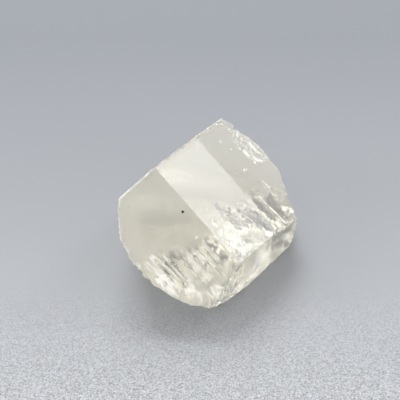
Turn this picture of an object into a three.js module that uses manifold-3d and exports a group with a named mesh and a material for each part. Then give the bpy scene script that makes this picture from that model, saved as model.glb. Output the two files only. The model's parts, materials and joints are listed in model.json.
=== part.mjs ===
// A broken piece of a single topaz crystal, lying on the flat broken face under it.
//
// The solid is a block cut by planes, which is how crystals are described: each plane has the direction of its
// normal, as an azimuth round the crystal's long axis and a polar angle from that axis, and its distance from the
// crystal's centre. The growth faces of the prism take their azimuths from topaz's axial ratio. The upper end is the
// flat cleavage across the axis. The sides that broke away are planes with an uneven shell-like relief. Along the
// broken edges small chips are missing, and fine grooves run along the prism where growth was uneven.
//
// Crystal axes: +Z is the long axis, towards the raised end. +X is the normal of the broad face (010).
// Millimetres and degrees. In the finished part +Z is up, and the origin is under the middle of the crystal's box,
// at the height of the surface that it lies on.

import * as THREE from "three";
import * as BufferGeometryUtils from "three/addons/utils/BufferGeometryUtils.js";
import Module from "manifold-3d";

const solidModeller = await Module();
solidModeller.setup();

// ---------------------------------------------------------------------------------------------------------------
// Driving dimensions
// ---------------------------------------------------------------------------------------------------------------

const AXIAL_RATIO = { a: 0.528, b: 1.0 };

const BROAD_FACE_DISTANCE = 9.7; // (010), the broad face at the front
const BRIGHT_FACE_DISTANCE = 6.35; // (120), the long narrow face on top
const SIDE_FACE_DISTANCE = 6.95; // (230), the face that falls away behind it
const BACK_FACE_DISTANCE = 13.8; // (0-10), opposite the broad face, hidden under the crystal
const CLEAVAGE_DISTANCE = 11.3; // the flat end across the axis, at the raised end
const RESTING_FACE = { azimuth: -145, polar: 121, distance: 9.3 };
const RAISED_END_HEADING = 140.4; // compass direction of the long axis on the ground, counter-clockwise from +X

// Where the prism broke off at its low end, one ramp is left that leans in under the bright face.
const LOW_END_RAMP = { polar: 157.5, distance: 12.25 };

// The broken wall at the left, from the raised end round to the low tip.
const LEFT_WALL = [
  { azimuth: -93, polar: 40, distance: 14.2 },
  { azimuth: -95, polar: 55, distance: 13.8 },
  { azimuth: -95, polar: 78, distance: 13.7 },
  { azimuth: -98, polar: 92, distance: 13.1 },
  { azimuth: -101, polar: 105, distance: 12.8 },
  { azimuth: -105, polar: 113, distance: 12.5 },
  { azimuth: -109, polar: 130, distance: 13.0 },
  { azimuth: -120, polar: 163, distance: 14.3 },
];

// The broken wall at the right, from the raised end down to the low end, and the slanting break on its corner.
const RIGHT_WALL = [
  { azimuth: 90, polar: 65, distance: 16.9 },
  { azimuth: 91, polar: 73, distance: 16.9 },
  { azimuth: 93, polar: 108, distance: 15.8 },
  { azimuth: 96, polar: 115, distance: 15.5 },
  { azimuth: 104, polar: 141, distance: 16.6 },
];
const CORNER_BREAK = { azimuth: 74, polar: 88, distance: 12.35 };

// The back edge, between the back face and the resting face, is worn into a round.
const BACK_EDGE_RADIUS = 9;
const BACK_EDGE_STEPS = 4;

// Relief of the broken walls.
const WALL_RELIEF = 0.22; // height of the unevenness
const WALL_RELIEF_LENGTH = 2.6; // typical distance between its bumps
const SMALL_BUMP_SHARE = 1 / 3; // size of the small bumps on top of the broad ones
const RIPPLE_HEIGHT = 0.07; // curved ribs, as on broken glass
const RIPPLE_SPACING = 1.9;
const RIPPLE_ORIGIN = new THREE.Vector3(6, -14, -9); // where the blow that broke the left wall landed

// The shell-shaped scar on the corner behind the side face: the middle of its hollow and the hollow's half sizes.
const SCAR = { along: 4.6, across: 14.8, height: 2.3, radii: { along: 6.0, across: 5.2, into: 3.5 } };
const SCAR_RIBS = { count: 7, height: 0.012 }; // height as a share of the radius
const SCAR_BUMPS = { fineness: 3, height: 0.03 };
const SCAR_SEGMENTS = { around: 44, up: 30 };

// Grooves along the prism: where across the face, from where to where along the axis, and how wide.
const BROAD_FACE_GROOVES = [
  { across: -11.4, from: 0.4, to: -6.2, width: 0.22 },
  { across: -10.3, from: -0.2, to: -7.8, width: 0.36 },
  { across: -9.5, from: -0.9, to: -7.0, width: 0.26 },
  { across: -7.6, from: -3.4, to: -8.8, width: 0.2 },
  { across: -5.9, from: -3.0, to: -8.0, width: 0.24 },
  { across: -3.8, from: -4.6, to: -8.4, width: 0.18 },
];
const SIDE_FACE_GROOVES = [
  { across: 6.2, from: -3.9, to: -10.4, width: 0.3 },
  { across: 9.2, from: -1.5, to: -5.2, width: 0.2 },
];
const GROOVE_DEPTH_SHARE = 0.3; // depth of a groove as a share of its width

// Chips along the edges that took knocks.
const CHIP_SPACING = 1.3;
const CHIP_RADIUS = { least: 0.5, most: 2.4 };
const CHIP_BITE = { least: 0.03, most: 0.24 };
const CHIP_SEED = 11;
const CHIP_DETAIL = 2; // how often the faces of a chip's ball are divided

// Working sizes: the block that is cut, the tools that make the broken walls, and the cells across such a tool.
const STOCK_SIZE = 60;
const TOOL_SIZE = 44;
const RELIEF_CELLS = 54;

const TOPAZ_COLOUR = 0xd9d4be;
const TOPAZ_ROUGHNESS = 0.08;

// ---------------------------------------------------------------------------------------------------------------
// Numbers: repeatable random draws and smooth noise
// ---------------------------------------------------------------------------------------------------------------

// A small generator that gives the same draws on each run, with the usual constants of a linear generator.
const DRAW_MULTIPLIER = 1664525;
const DRAW_STEP = 1013904223;
const DRAW_RANGE = 2 ** 32;

function makeDraw(seed) {
  let state = seed;
  return (least, most) => {
    state = (Math.imul(state, DRAW_MULTIPLIER) + DRAW_STEP) >>> 0;
    return least + ((most - least) * state) / DRAW_RANGE;
  };
}

// A value between -1 and 1 for each point of a lattice, from a hash with large primes.
const LATTICE_PRIMES = [73856093, 19349663, 83492791];
const STIR_PRIME = 1274126177;
const LOW_BITS = 0xffff;

function latticeValue(...place) {
  const mixed = place.reduce((hash, step, axis) => hash ^ Math.imul(step, LATTICE_PRIMES[axis]), 0);
  const stirred = Math.imul(mixed ^ (mixed >>> 13), STIR_PRIME);
  return (2 * ((stirred ^ (stirred >>> 16)) & LOW_BITS)) / LOW_BITS - 1;
}

// Smooth noise between about -1 and 1, blended between the corners of a unit lattice.
function smoothNoise(point) {
  const cell = [point.x, point.y, point.z].map(Math.floor);
  const inside = [point.x - cell[0], point.y - cell[1], point.z - cell[2]];
  const ease = inside.map((t) => t * t * (3 - 2 * t));
  let sum = 0;
  for (let corner = 0; corner < 8; corner += 1) {
    const step = [corner & 1, (corner >> 1) & 1, (corner >> 2) & 1];
    const weight = step.reduce((w, s, axis) => w * (s ? ease[axis] : 1 - ease[axis]), 1);
    sum += weight * latticeValue(cell[0] + step[0], cell[1] + step[1], cell[2] + step[2]);
  }
  return sum;
}

// ---------------------------------------------------------------------------------------------------------------
// Directions and planes
// ---------------------------------------------------------------------------------------------------------------

// The azimuth of prism face (h k 0), from the normal of (010).
function prismAzimuth(h, k) {
  const angle = Math.atan2(h / AXIAL_RATIO.a, k / AXIAL_RATIO.b);
  return THREE.MathUtils.radToDeg(angle);
}

function direction(azimuth, polar) {
  const turn = THREE.MathUtils.degToRad(azimuth);
  const lean = THREE.MathUtils.degToRad(polar);
  return new THREE.Vector3(Math.sin(lean) * Math.cos(turn), Math.sin(lean) * Math.sin(turn), Math.cos(lean));
}

function makePlane(azimuth, polar, distance) {
  return { normal: direction(azimuth, polar), distance };
}

const broadFace = makePlane(prismAzimuth(0, 1), 90, BROAD_FACE_DISTANCE);
const brightFace = makePlane(prismAzimuth(1, 2), 90, BRIGHT_FACE_DISTANCE);
const sideFace = makePlane(prismAzimuth(2, 3), 90, SIDE_FACE_DISTANCE);
const backFace = makePlane(prismAzimuth(0, -1), 90, BACK_FACE_DISTANCE);
const cleavage = makePlane(0, 0, CLEAVAGE_DISTANCE);
const lowRamp = makePlane(prismAzimuth(1, 2), LOW_END_RAMP.polar, LOW_END_RAMP.distance);
const restingFace = makePlane(RESTING_FACE.azimuth, RESTING_FACE.polar, RESTING_FACE.distance);
const leftWall = LEFT_WALL.map((wall) => makePlane(wall.azimuth, wall.polar, wall.distance));
const rightWall = RIGHT_WALL.map((wall) => makePlane(wall.azimuth, wall.polar, wall.distance));
const cornerBreak = makePlane(CORNER_BREAK.azimuth, CORNER_BREAK.polar, CORNER_BREAK.distance);

// The point where three planes meet.
function corner(first, second, third) {
  const normals = new THREE.Matrix3();
  const [p, q, r] = [first.normal, second.normal, third.normal];
  normals.set(p.x, p.y, p.z, q.x, q.y, q.z, r.x, r.y, r.z);
  return new THREE.Vector3(first.distance, second.distance, third.distance).applyMatrix3(normals.invert());
}

// A point on a growth face, from its place across the face and along the axis.
function onFace(face, across, along) {
  const acrossDirection = new THREE.Vector3(0, 0, 1).cross(face.normal);
  const point = face.normal.clone().multiplyScalar(face.distance);
  point.addScaledVector(acrossDirection, across);
  point.z += along;
  return point;
}

// Planes that round off the edge between two planes, tangent to a cylinder of the given radius inside it.
function roundedEdge(first, second, radius, steps) {
  const bend = first.normal.dot(second.normal);
  const planes = [];
  for (let step = 1; step < steps; step += 1) {
    const share = step / steps;
    const normal = first.normal.clone().lerp(second.normal, share).normalize();
    const inset = (normal.dot(first.normal) + normal.dot(second.normal)) / (1 + bend);
    const edge = corner(first, second, cleavage);
    planes.push({ normal, distance: normal.dot(edge) - radius * (inset - 1) });
  }
  return planes;
}

// ---------------------------------------------------------------------------------------------------------------
// Solids
// ---------------------------------------------------------------------------------------------------------------

function toSolid(geometry) {
  const bare = geometry.clone();
  bare.deleteAttribute("normal");
  bare.deleteAttribute("uv");
  const merged = BufferGeometryUtils.mergeVertices(bare);
  const mesh = new solidModeller.Mesh({
    numProp: 3,
    vertProperties: new Float32Array(merged.attributes.position.array),
    triVerts: new Uint32Array(merged.index.array),
  });
  return new solidModeller.Manifold(mesh);
}

function toGeometry(solid) {
  const mesh = solid.getMesh();
  const geometry = new THREE.BufferGeometry();
  geometry.setAttribute("position", new THREE.BufferAttribute(new Float32Array(mesh.vertProperties), 3));
  geometry.setIndex(new THREE.BufferAttribute(new Uint32Array(mesh.triVerts), 1));
  return geometry;
}

// Turns and moves a geometry made around +Z so that +Z points along the plane's normal and z = 0 lies on the plane.
function placeOnPlane(geometry, plane) {
  const up = new THREE.Vector3(0, 0, 1);
  const turn = new THREE.Quaternion().setFromUnitVectors(up, plane.normal);
  geometry.applyQuaternion(turn);
  geometry.translate(...plane.normal.clone().multiplyScalar(plane.distance).toArray());
  return geometry;
}

// A block that takes away everything outside a plane.
function planeTool(plane) {
  const block = new THREE.BoxGeometry(STOCK_SIZE, STOCK_SIZE, STOCK_SIZE);
  block.translate(0, 0, STOCK_SIZE / 2);
  return toSolid(placeOnPlane(block, plane));
}

// The unevenness of a broken wall at a point: broad bumps, and ribs that spread from where the blow landed.
function wallRelief(point) {
  const bumps = smoothNoise(point.clone().divideScalar(WALL_RELIEF_LENGTH));
  const smallBumps = smoothNoise(point.clone().divideScalar(WALL_RELIEF_LENGTH * SMALL_BUMP_SHARE));
  const ribs = Math.sin((2 * Math.PI * point.distanceTo(RIPPLE_ORIGIN)) / RIPPLE_SPACING);
  return WALL_RELIEF * (bumps + SMALL_BUMP_SHARE * smallBumps) + RIPPLE_HEIGHT * ribs;
}

// The same block, with the relief of a break on the side that cuts.
function breakTool(plane) {
  const block = new THREE.BoxGeometry(TOOL_SIZE, TOOL_SIZE, TOOL_SIZE, RELIEF_CELLS, RELIEF_CELLS, 1);
  block.translate(0, 0, TOOL_SIZE / 2);
  const heights = Array.from({ length: block.attributes.position.count }, (_, i) => block.attributes.position.getZ(i));
  placeOnPlane(block, plane);
  const places = block.attributes.position;
  const point = new THREE.Vector3();
  for (let i = 0; i < places.count; i += 1) {
    if (heights[i] < TOOL_SIZE / 2) {
      point.fromBufferAttribute(places, i);
      point.addScaledVector(plane.normal, wallRelief(point));
      places.setXYZ(i, point.x, point.y, point.z);
    }
  }
  return toSolid(block);
}

// The scar is a flattened ball with ribs, sunk in the corner behind the side face.
function scarTool() {
  const ball = new THREE.SphereGeometry(1, SCAR_SEGMENTS.around, SCAR_SEGMENTS.up);
  const places = ball.attributes.position;
  const point = new THREE.Vector3();
  for (let i = 0; i < places.count; i += 1) {
    point.fromBufferAttribute(places, i);
    const angleFromPole = Math.acos(THREE.MathUtils.clamp(point.y, -1, 1));
    const rib = SCAR_RIBS.height * Math.sin(2 * SCAR_RIBS.count * angleFromPole);
    const bump = SCAR_BUMPS.height * smoothNoise(point.clone().multiplyScalar(SCAR_BUMPS.fineness));
    point.multiplyScalar(1 + rib + bump);
    places.setXYZ(i, point.x, point.y, point.z);
  }
  ball.scale(SCAR.radii.into, SCAR.radii.across, SCAR.radii.along);
  ball.rotateZ(THREE.MathUtils.degToRad(prismAzimuth(2, 3)));
  const centre = onFace(sideFace, SCAR.across, SCAR.along).addScaledVector(sideFace.normal, SCAR.height);
  ball.translate(...centre.toArray());
  return toSolid(ball);
}

// A groove is a three-sided bar along the axis, with one edge sunk in the face.
function grooveTool(face, groove) {
  const depth = groove.width * GROOVE_DEPTH_SHARE;
  const length = groove.from - groove.to;
  const bar = new THREE.CylinderGeometry(1, 1, length, 3);
  bar.rotateX(Math.PI / 2);
  const sunkEdge = new THREE.Vector3().fromBufferAttribute(bar.attributes.position, 0);
  bar.rotateZ(Math.PI - Math.atan2(sunkEdge.y, sunkEdge.x));
  bar.scale(2 * depth, 2 * groove.width / Math.sqrt(3), 1);
  bar.translate(depth, 0, 0);
  bar.rotateZ(Math.atan2(face.normal.y, face.normal.x));
  const centre = onFace(face, groove.across, (groove.from + groove.to) / 2);
  bar.translate(...centre.toArray());
  return toSolid(bar);
}

// Chips along one edge, from one corner to another: balls that bite a little into it.
function chipTools(from, to, outward, draw) {
  const length = from.distanceTo(to);
  const count = Math.max(1, Math.round(length / CHIP_SPACING));
  const chips = [];
  for (let i = 0; i < count; i += 1) {
    const radius = draw(CHIP_RADIUS.least, CHIP_RADIUS.most);
    const bite = draw(CHIP_BITE.least, CHIP_BITE.most);
    const ball = new THREE.IcosahedronGeometry(radius, CHIP_DETAIL);
    ball.rotateX(draw(0, Math.PI));
    ball.rotateY(draw(0, Math.PI));
    const place = from.clone().lerp(to, (i + draw(0.1, 0.9)) / count);
    place.addScaledVector(outward, radius - bite);
    ball.translate(...place.toArray());
    chips.push(toSolid(ball));
  }
  return chips;
}

// ---------------------------------------------------------------------------------------------------------------
// The crystal
// ---------------------------------------------------------------------------------------------------------------

// The edges that took knocks, each by its two faces and the planes at its two ends.
function knockedEdges() {
  const leftEdges = leftWall.slice(1, 7).map((wall, i) => [broadFace, wall, leftWall[i], leftWall[i + 2]]);
  return [
    [broadFace, cleavage, leftWall[0], brightFace],
    [brightFace, cleavage, broadFace, sideFace],
    [sideFace, cleavage, brightFace, cornerBreak],
    [broadFace, leftWall[0], cleavage, leftWall[1]],
    ...leftEdges,
    [cornerBreak, rightWall[1], rightWall[0], rightWall[2]],
    [cornerBreak, rightWall[2], rightWall[1], rightWall[3]],
    [sideFace, rightWall[3], cornerBreak, rightWall[4]],
    [sideFace, lowRamp, brightFace, rightWall[4]],
    [lowRamp, rightWall[4], sideFace, restingFace],
  ];
}

function allChips() {
  const draw = makeDraw(CHIP_SEED);
  return knockedEdges().flatMap(([one, other, start, end]) => {
    const outward = one.normal.clone().add(other.normal).normalize();
    return chipTools(corner(one, other, start), corner(one, other, end), outward, draw);
  });
}

function crystalSolid() {
  const flats = [broadFace, brightFace, sideFace, backFace, cleavage, lowRamp, restingFace];
  const backEdge = roundedEdge(backFace, restingFace, BACK_EDGE_RADIUS, BACK_EDGE_STEPS);
  const tools = [
    ...[...flats, ...backEdge].map(planeTool),
    ...[...leftWall, ...rightWall, cornerBreak].map(breakTool),
    scarTool(),
    ...BROAD_FACE_GROOVES.map((groove) => grooveTool(broadFace, groove)),
    ...SIDE_FACE_GROOVES.map((groove) => grooveTool(sideFace, groove)),
    ...allChips(),
  ];
  const stock = toSolid(new THREE.BoxGeometry(STOCK_SIZE, STOCK_SIZE, STOCK_SIZE));
  return tools.reduce((solid, tool) => solid.subtract(tool), stock);
}

// Turns the crystal until its resting face is level under it, and sets it down with the origin under its middle.
function layDown(geometry) {
  const down = new THREE.Vector3(0, 0, -1);
  const level = new THREE.Quaternion().setFromUnitVectors(restingFace.normal, down);
  geometry.applyQuaternion(level);
  const axis = new THREE.Vector3(0, 0, 1).applyQuaternion(level);
  const heading = Math.atan2(axis.y, axis.x);
  geometry.rotateZ(THREE.MathUtils.degToRad(RAISED_END_HEADING) - heading);
  geometry.computeBoundingBox();
  const { min, max } = geometry.boundingBox;
  geometry.translate(-(min.x + max.x) / 2, -(min.y + max.y) / 2, -min.z);
  return geometry;
}

function makeCrystal() {
  const geometry = layDown(toGeometry(crystalSolid()));
  const material = new THREE.MeshStandardMaterial({
    color: TOPAZ_COLOUR,
    roughness: TOPAZ_ROUGHNESS,
    metalness: 0,
  });
  const crystal = new THREE.Mesh(geometry, material);
  crystal.name = "crystal";
  return crystal;
}

const group = new THREE.Group();
group.add(makeCrystal());

export default group;
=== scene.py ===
# %% [markdown]
# # A broken topaz crystal, from its frame to its finish
#
# The real thing is one stubby piece of a topaz prism, about 30 mm across. It has long flat growth faces,
# a flat cleavage across its raised end, and rough breaks everywhere else, and it lies on one of those
# breaks. The frame gives its exact outer shape. This lesson turns that plain solid into clear stone:
# flats that stay perfectly flat, breaks with real relief, cracks inside, and a floor and light that show
# them.
#
# Everything is in metres, in the frame's own axes: +Z is up and the viewer stands towards -Y. Small
# sizes are given in millimetres and multiplied by MM.

# %% Load the frame
import json
import math
import random
from collections import defaultdict

import bmesh
import bpy
import numpy as np
from mathutils import Matrix, Vector, noise
from mathutils.bvhtree import BVHTree
from mathutils.geometry import area_tri, delaunay_2d_cdt
from mathutils.kdtree import KDTree

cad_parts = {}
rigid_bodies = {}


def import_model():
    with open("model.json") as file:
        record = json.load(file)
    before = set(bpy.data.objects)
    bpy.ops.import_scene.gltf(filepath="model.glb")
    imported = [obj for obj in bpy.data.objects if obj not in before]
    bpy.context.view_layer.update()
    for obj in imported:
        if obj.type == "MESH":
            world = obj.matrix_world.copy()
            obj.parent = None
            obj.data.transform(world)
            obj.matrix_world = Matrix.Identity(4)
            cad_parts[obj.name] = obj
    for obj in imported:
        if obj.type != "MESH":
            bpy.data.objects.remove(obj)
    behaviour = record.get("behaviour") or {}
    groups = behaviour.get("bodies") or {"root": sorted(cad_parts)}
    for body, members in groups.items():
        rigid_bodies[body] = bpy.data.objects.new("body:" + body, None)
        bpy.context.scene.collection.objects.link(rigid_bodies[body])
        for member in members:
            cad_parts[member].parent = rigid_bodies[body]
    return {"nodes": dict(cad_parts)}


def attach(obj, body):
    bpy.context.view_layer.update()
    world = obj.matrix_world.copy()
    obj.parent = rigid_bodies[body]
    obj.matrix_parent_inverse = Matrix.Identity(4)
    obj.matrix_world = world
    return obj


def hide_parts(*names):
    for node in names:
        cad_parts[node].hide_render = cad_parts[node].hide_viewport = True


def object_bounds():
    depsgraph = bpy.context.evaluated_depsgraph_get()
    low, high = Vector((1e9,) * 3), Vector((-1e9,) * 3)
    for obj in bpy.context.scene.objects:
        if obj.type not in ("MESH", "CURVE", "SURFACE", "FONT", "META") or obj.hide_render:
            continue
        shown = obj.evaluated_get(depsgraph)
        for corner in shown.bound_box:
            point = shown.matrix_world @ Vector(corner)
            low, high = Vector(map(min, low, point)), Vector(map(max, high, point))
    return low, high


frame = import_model()
cad_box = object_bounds()
MM = 0.001
solid = frame["nodes"]["crystal"].data
box_size = Vector(cad_box[1]) - Vector(cad_box[0])
print("solid:", len(solid.polygons), "faces, box in mm:", [round(x / MM, 1) for x in box_size])

# %% [markdown]
# ## The camera
#
# A long lens from above and in front keeps the edges of a small stone nearly parallel, as a close-up
# from a short distance away does. The camera comes first, so that every later cell can be judged through
# it. It aims a little to the left of the middle of the stone's box, at about half its height.

# %% Place the camera
LENS = 200.0  # millimetres
SENSOR = 36.0  # millimetres
LOOK_DOWN = math.radians(42)
AIM_LEFT = 1.37 * MM  # from the middle of the box
AIM_UP = 11.2 * MM  # from the floor
CAMERA_DISTANCE = 386.7 * MM
NEAREST = 10 * MM  # what is nearer to the camera isn't drawn


def aim(thing, place, target):
    """Puts a camera or light at a place, looking at a target."""
    thing.location = place
    thing.rotation_euler = (target - place).to_track_quat("-Z", "Y").to_euler()
    return thing


def add_object(name, data):
    """Puts an object with the given data in the scene."""
    thing = bpy.data.objects.new(name, data)
    bpy.context.scene.collection.objects.link(thing)
    return thing


middle = (Vector(cad_box[0]) + Vector(cad_box[1])) / 2
look = Vector((0, math.cos(LOOK_DOWN), -math.sin(LOOK_DOWN)))
aim_point = Vector((middle.x - AIM_LEFT, middle.y, AIM_UP))
camera_data = bpy.data.cameras.new("camera")
camera_data.lens = LENS
camera_data.sensor_width = SENSOR
camera_data.clip_start = NEAREST
camera = aim(add_object("camera", camera_data), aim_point - look * CAMERA_DISTANCE, aim_point)
bpy.context.scene.camera = camera
print("camera at", [round(x / MM) for x in camera.location], "mm")

# %% [markdown]
# ## The flat faces
#
# A crystal is described by the directions of its faces, so the first step is to find the flat ones in
# the solid. Each is known by roughly where it looks. Its exact plane is fitted to its corner points,
# which are kept to the largest triangle's plane more and more closely. The long axis is the normal of
# the cleavage, which in topaz always lies square across the prism.

# %% Find the flat faces
ROUGH_DIRECTIONS = {
    "broad": (-0.04, -0.71, 0.70),
    "bright": (0.48, -0.21, 0.85),
    "side": (0.56, -0.09, 0.82),
    "cleavage": (-0.66, 0.55, 0.51),
    "ramp": (0.80, -0.59, -0.15),
    "resting": (0.0, 0.0, -1.0),
    "back": (0.04, 0.71, -0.70),
}
SAME_DIRECTION = math.cos(math.radians(2.0))
ON_PLANE = 0.004 * MM

corner_numbers = np.array([tuple(p.vertices) for p in solid.polygons])
points = np.array([v.co for v in solid.vertices])
normals = np.array([p.normal for p in solid.polygons])
areas = np.array([p.area for p in solid.polygons])


def measure_flat(rough_direction):
    """The normal and the distance from the origin of the largest flat face that looks roughly one way."""
    seen = normals @ np.array(Vector(rough_direction).normalized()) > SAME_DIRECTION
    largest = np.argmax(np.where(seen, areas, 0))
    normal, distance = normals[largest], points[corner_numbers[largest, 0]] @ normals[largest]
    for tolerance in (20 * ON_PLANE, 5 * ON_PLANE, ON_PLANE):
        near = seen & (np.abs(points[corner_numbers] @ normal - distance) < tolerance).all(1)
        rim = points[np.unique(corner_numbers[near])]
        fitted = np.linalg.svd(rim - rim.mean(0))[2][-1]
        normal = fitted * np.sign(fitted @ normal)
        distance = rim.mean(0) @ normal
    return Vector(normal), distance


flats = {name: measure_flat(direction) for name, direction in ROUGH_DIRECTIONS.items()}
along_axis = flats["cleavage"][0]
broad_normal = flats["broad"][0]
across_axis = along_axis.cross(broad_normal).normalized()
for name, (normal, distance) in flats.items():
    print(f"{name:9s} normal {[round(x, 3) for x in normal]} at {distance / MM:.2f} mm")

# %% [markdown]
# ## A fine mesh of the same shape
#
# The solid's triangles are long and thin. They give the outline exactly, but relief needs small, even
# ones. A voxel remesh would round every edge, and a crystal's edges are what makes it a crystal. So each
# flat face keeps its own outline and is filled again with an even net of points, by a constrained
# Delaunay triangulation, which never crosses the outline and leaves every point in the plane. The broken
# walls between the flats are split in place.

# %% Mark each triangle with its flat face, and split the outlines into short steps
FINE = 0.22 * MM  # step along the outlines, and of most nets
NET_STEPS = {"broad": (0.11 * MM, 0.38 * MM)}  # across and along the crystal, fine enough for growth lines
WALL_STEP = 0.34 * MM
WALLS = -1
flat_names = list(flats)


def flat_of(face):
    """The number of the flat face that a triangle lies on, or WALLS."""
    for number, (normal, distance) in enumerate(flats.values()):
        offsets = [abs(v.co.dot(normal) - distance) for v in face.verts]
        if face.normal.dot(normal) > 0.5 and max(offsets) < ON_PLANE:
            return number
    return WALLS


def split_into_steps(edge, step):
    """Cuts an edge into equal parts no longer than a step."""
    start, end = edge.verts
    for parts in range(math.ceil(edge.calc_length() / step), 1, -1):
        edge, start = bmesh.utils.edge_split(edge, start, 1 / parts)
        edge = next(e for e in start.link_edges if end in e.verts)


def is_border(edge):
    return len({face[flat_layer] for face in edge.link_faces}) > 1


stone = bmesh.new()
stone.from_mesh(solid)
bmesh.ops.remove_doubles(stone, verts=stone.verts, dist=0.001 * MM)
flat_layer = stone.faces.layers.int.new("flat")
for face in stone.faces:
    face[flat_layer] = flat_of(face)
for edge in [e for e in stone.edges if is_border(e)]:
    split_into_steps(edge, FINE)
for number, name in enumerate(flat_names):
    share = sum(f.calc_area() for f in stone.faces if f[flat_layer] == number) / MM**2
    print(f"{name:9s} {share:6.1f} mm2")
print("open edges:", sum(not e.is_manifold for e in stone.edges))

# %% Fill each flat face again with an even net
WHOLE_HULL = 0  # what delaunay_2d_cdt calls filling everything inside the outermost points
NO_DISTANCE = 1e-6  # millimetres: points closer than this are one
SLIVER = 1e-4  # square millimetres
RIM_GAP = 0.55  # least distance from the net to the outline, as a share of the step


def plane_axes(normal):
    """Two directions that span a plane; the second follows the long axis where the plane allows."""
    guide = along_axis if abs(along_axis.dot(normal)) < 0.99 else broad_normal
    up = (guide - normal * guide.dot(normal)).normalized()
    return up.cross(normal), up


def net_points(low, high, step, row_step):
    """Points of a net of equal triangles over a rectangle."""
    width, height = high - low
    rows, columns = np.mgrid[0:math.ceil(height / row_step), 0:math.ceil(width / step)]
    x = low[0] + (columns + rows % 2 / 2 + 0.25) * step
    y = low[1] + (rows + 0.5) * row_step
    return np.column_stack([x.ravel(), y.ravel()])


def is_inside(places, outline):
    """Whether each place lies inside an outline, by counting the sides that a line from it crosses."""
    x, y = np.array(places).T[:, :, None]
    (x0, y0), (x1, y1) = np.array(outline).transpose(1, 2, 0)
    spans = (y0 > y) != (y1 > y)
    with np.errstate(divide="ignore", invalid="ignore"):
        crossing = x0 + (y - y0) * (x1 - x0) / (y1 - y0)
    return (spans & (crossing > x)).sum(1) % 2 == 1


def regions(triangles, barriers):
    """Groups triangles that reach one another without crossing a barrier edge."""
    beside = defaultdict(list)
    sides = [[frozenset(pair) for pair in zip(t, [*t[1:], t[0]])] for t in triangles]
    for i, three in enumerate(sides):
        for side in three:
            beside[side].append(i)
    waiting = set(range(len(triangles)))
    while waiting:
        reached = [waiting.pop()]
        for i in reached:
            for side in sides[i]:
                if side not in barriers:
                    near = [j for j in beside[side] if j in waiting]
                    waiting.difference_update(near)
                    reached.extend(near)
        yield [triangles[i] for i in reached]


def unique(things):
    """Each thing once, always in the same order, which a set would not promise."""
    return list(dict.fromkeys(things))


def refill(number, step, row_step):
    """Replaces the triangles of one flat face by an even net inside the same outline."""
    faces = [f for f in stone.faces if f[flat_layer] == number]
    border = unique(e for f in faces for e in f.edges if is_border(e))
    corners = unique(v for e in border for v in e.verts)
    number_of = {v: i for i, v in enumerate(corners)}
    normal, distance = flats[flat_names[number]]
    across, up = plane_axes(normal)

    def to_space(place):
        return (across * place[0] + up * place[1]) * MM + normal * distance

    rim = np.array([(v.co.dot(across) / MM, v.co.dot(up) / MM) for v in corners])
    edges = [[number_of[v] for v in e.verts] for e in border]
    outline = rim[np.array(edges)]
    net = net_points(rim.min(0), rim.max(0), step / MM, row_step / MM)
    net = net[is_inside(net, outline)]
    gaps = np.array([np.hypot(*(rim - place).T).min() for place in net])
    net = net[gaps > RIM_GAP * step / MM]
    spots = [Vector(place) for place in np.vstack([rim, net])]
    filled = delaunay_2d_cdt(spots, edges, [], WHOLE_HULL, NO_DISTANCE)
    places, drawn, triangles, origins, edge_origins, _ = filled
    barriers = {frozenset(e) for e, origin in zip(drawn, edge_origins) if origin}
    kept = []
    for region in regions(triangles, barriers):
        largest = max(([places[i] for i in t] for t in region), key=lambda three: area_tri(*three))
        centre = sum(largest, Vector((0, 0))) / 3
        if area_tri(*largest) > SLIVER and is_inside([centre], outline)[0]:
            kept.extend(region)
    bmesh.ops.delete(stone, geom=faces, context="FACES_ONLY")
    verts = {}

    def vert(i):
        if i not in verts:
            known = [o for o in origins[i] if o < len(corners)]
            verts[i] = corners[known[0]] if known else stone.verts.new(to_space(places[i]))
        return verts[i]

    for triangle in kept:
        three = [vert(i) for i in triangle]
        twin = stone.faces.get(three)
        if twin:
            stone.faces.remove(twin)
            continue
        face = stone.faces.new(three)
        face.normal_update()
        if face.normal.dot(normal) < 0:
            face.normal_flip()
        face[flat_layer] = number


for number, name in enumerate(flat_names):
    refill(number, *NET_STEPS.get(name, (FINE, FINE * math.sqrt(0.75))))
bmesh.ops.delete(stone, geom=[e for e in stone.edges if not e.link_faces], context="EDGES")
bmesh.ops.delete(stone, geom=[v for v in stone.verts if not v.link_faces], context="VERTS")
print("faces:", len(stone.faces), "open edges:", sum(not e.is_manifold for e in stone.edges))

# %% [markdown]
# ## The broken walls
#
# Around the flats run the broken walls. Their triangles are split until they are nearly as small as the
# net, and then smoothed a little, because real stone has no trace of a modeller's grid.

# %% Split and smooth the walls
TOO_LONG = 1.4 * WALL_STEP
SPLITTING_ROUNDS = 3
SMOOTHING_ROUNDS = 3


def is_wall(thing):
    return all(face[flat_layer] == WALLS for face in thing.link_faces)


def triangulate_large():
    large = [f for f in stone.faces if len(f.verts) > 3]
    bmesh.ops.triangulate(stone, faces=large, quad_method="BEAUTY", ngon_method="BEAUTY")


def smooth(verts, rounds):
    """Moves each point halfway towards the middle of its neighbours, a number of times."""
    for _ in range(rounds):
        bmesh.ops.smooth_vert(
            stone, verts=verts, factor=0.5, use_axis_x=True, use_axis_y=True, use_axis_z=True
        )


triangulate_large()
for _ in range(SPLITTING_ROUNDS):
    long_edges = [e for e in stone.edges if is_wall(e) and e.calc_length() > TOO_LONG]
    bmesh.ops.subdivide_edges(stone, edges=long_edges, cuts=1)
    triangulate_large()
while crossed := [e for e in stone.edges if not e.is_manifold]:
    print("folded edges:", len(crossed))
    bmesh.ops.collapse(stone, edges=crossed)
smooth([v for v in stone.verts if is_wall(v)], SMOOTHING_ROUNDS)
print("faces:", len(stone.faces), "open edges:", sum(not e.is_manifold for e in stone.edges))

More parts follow.
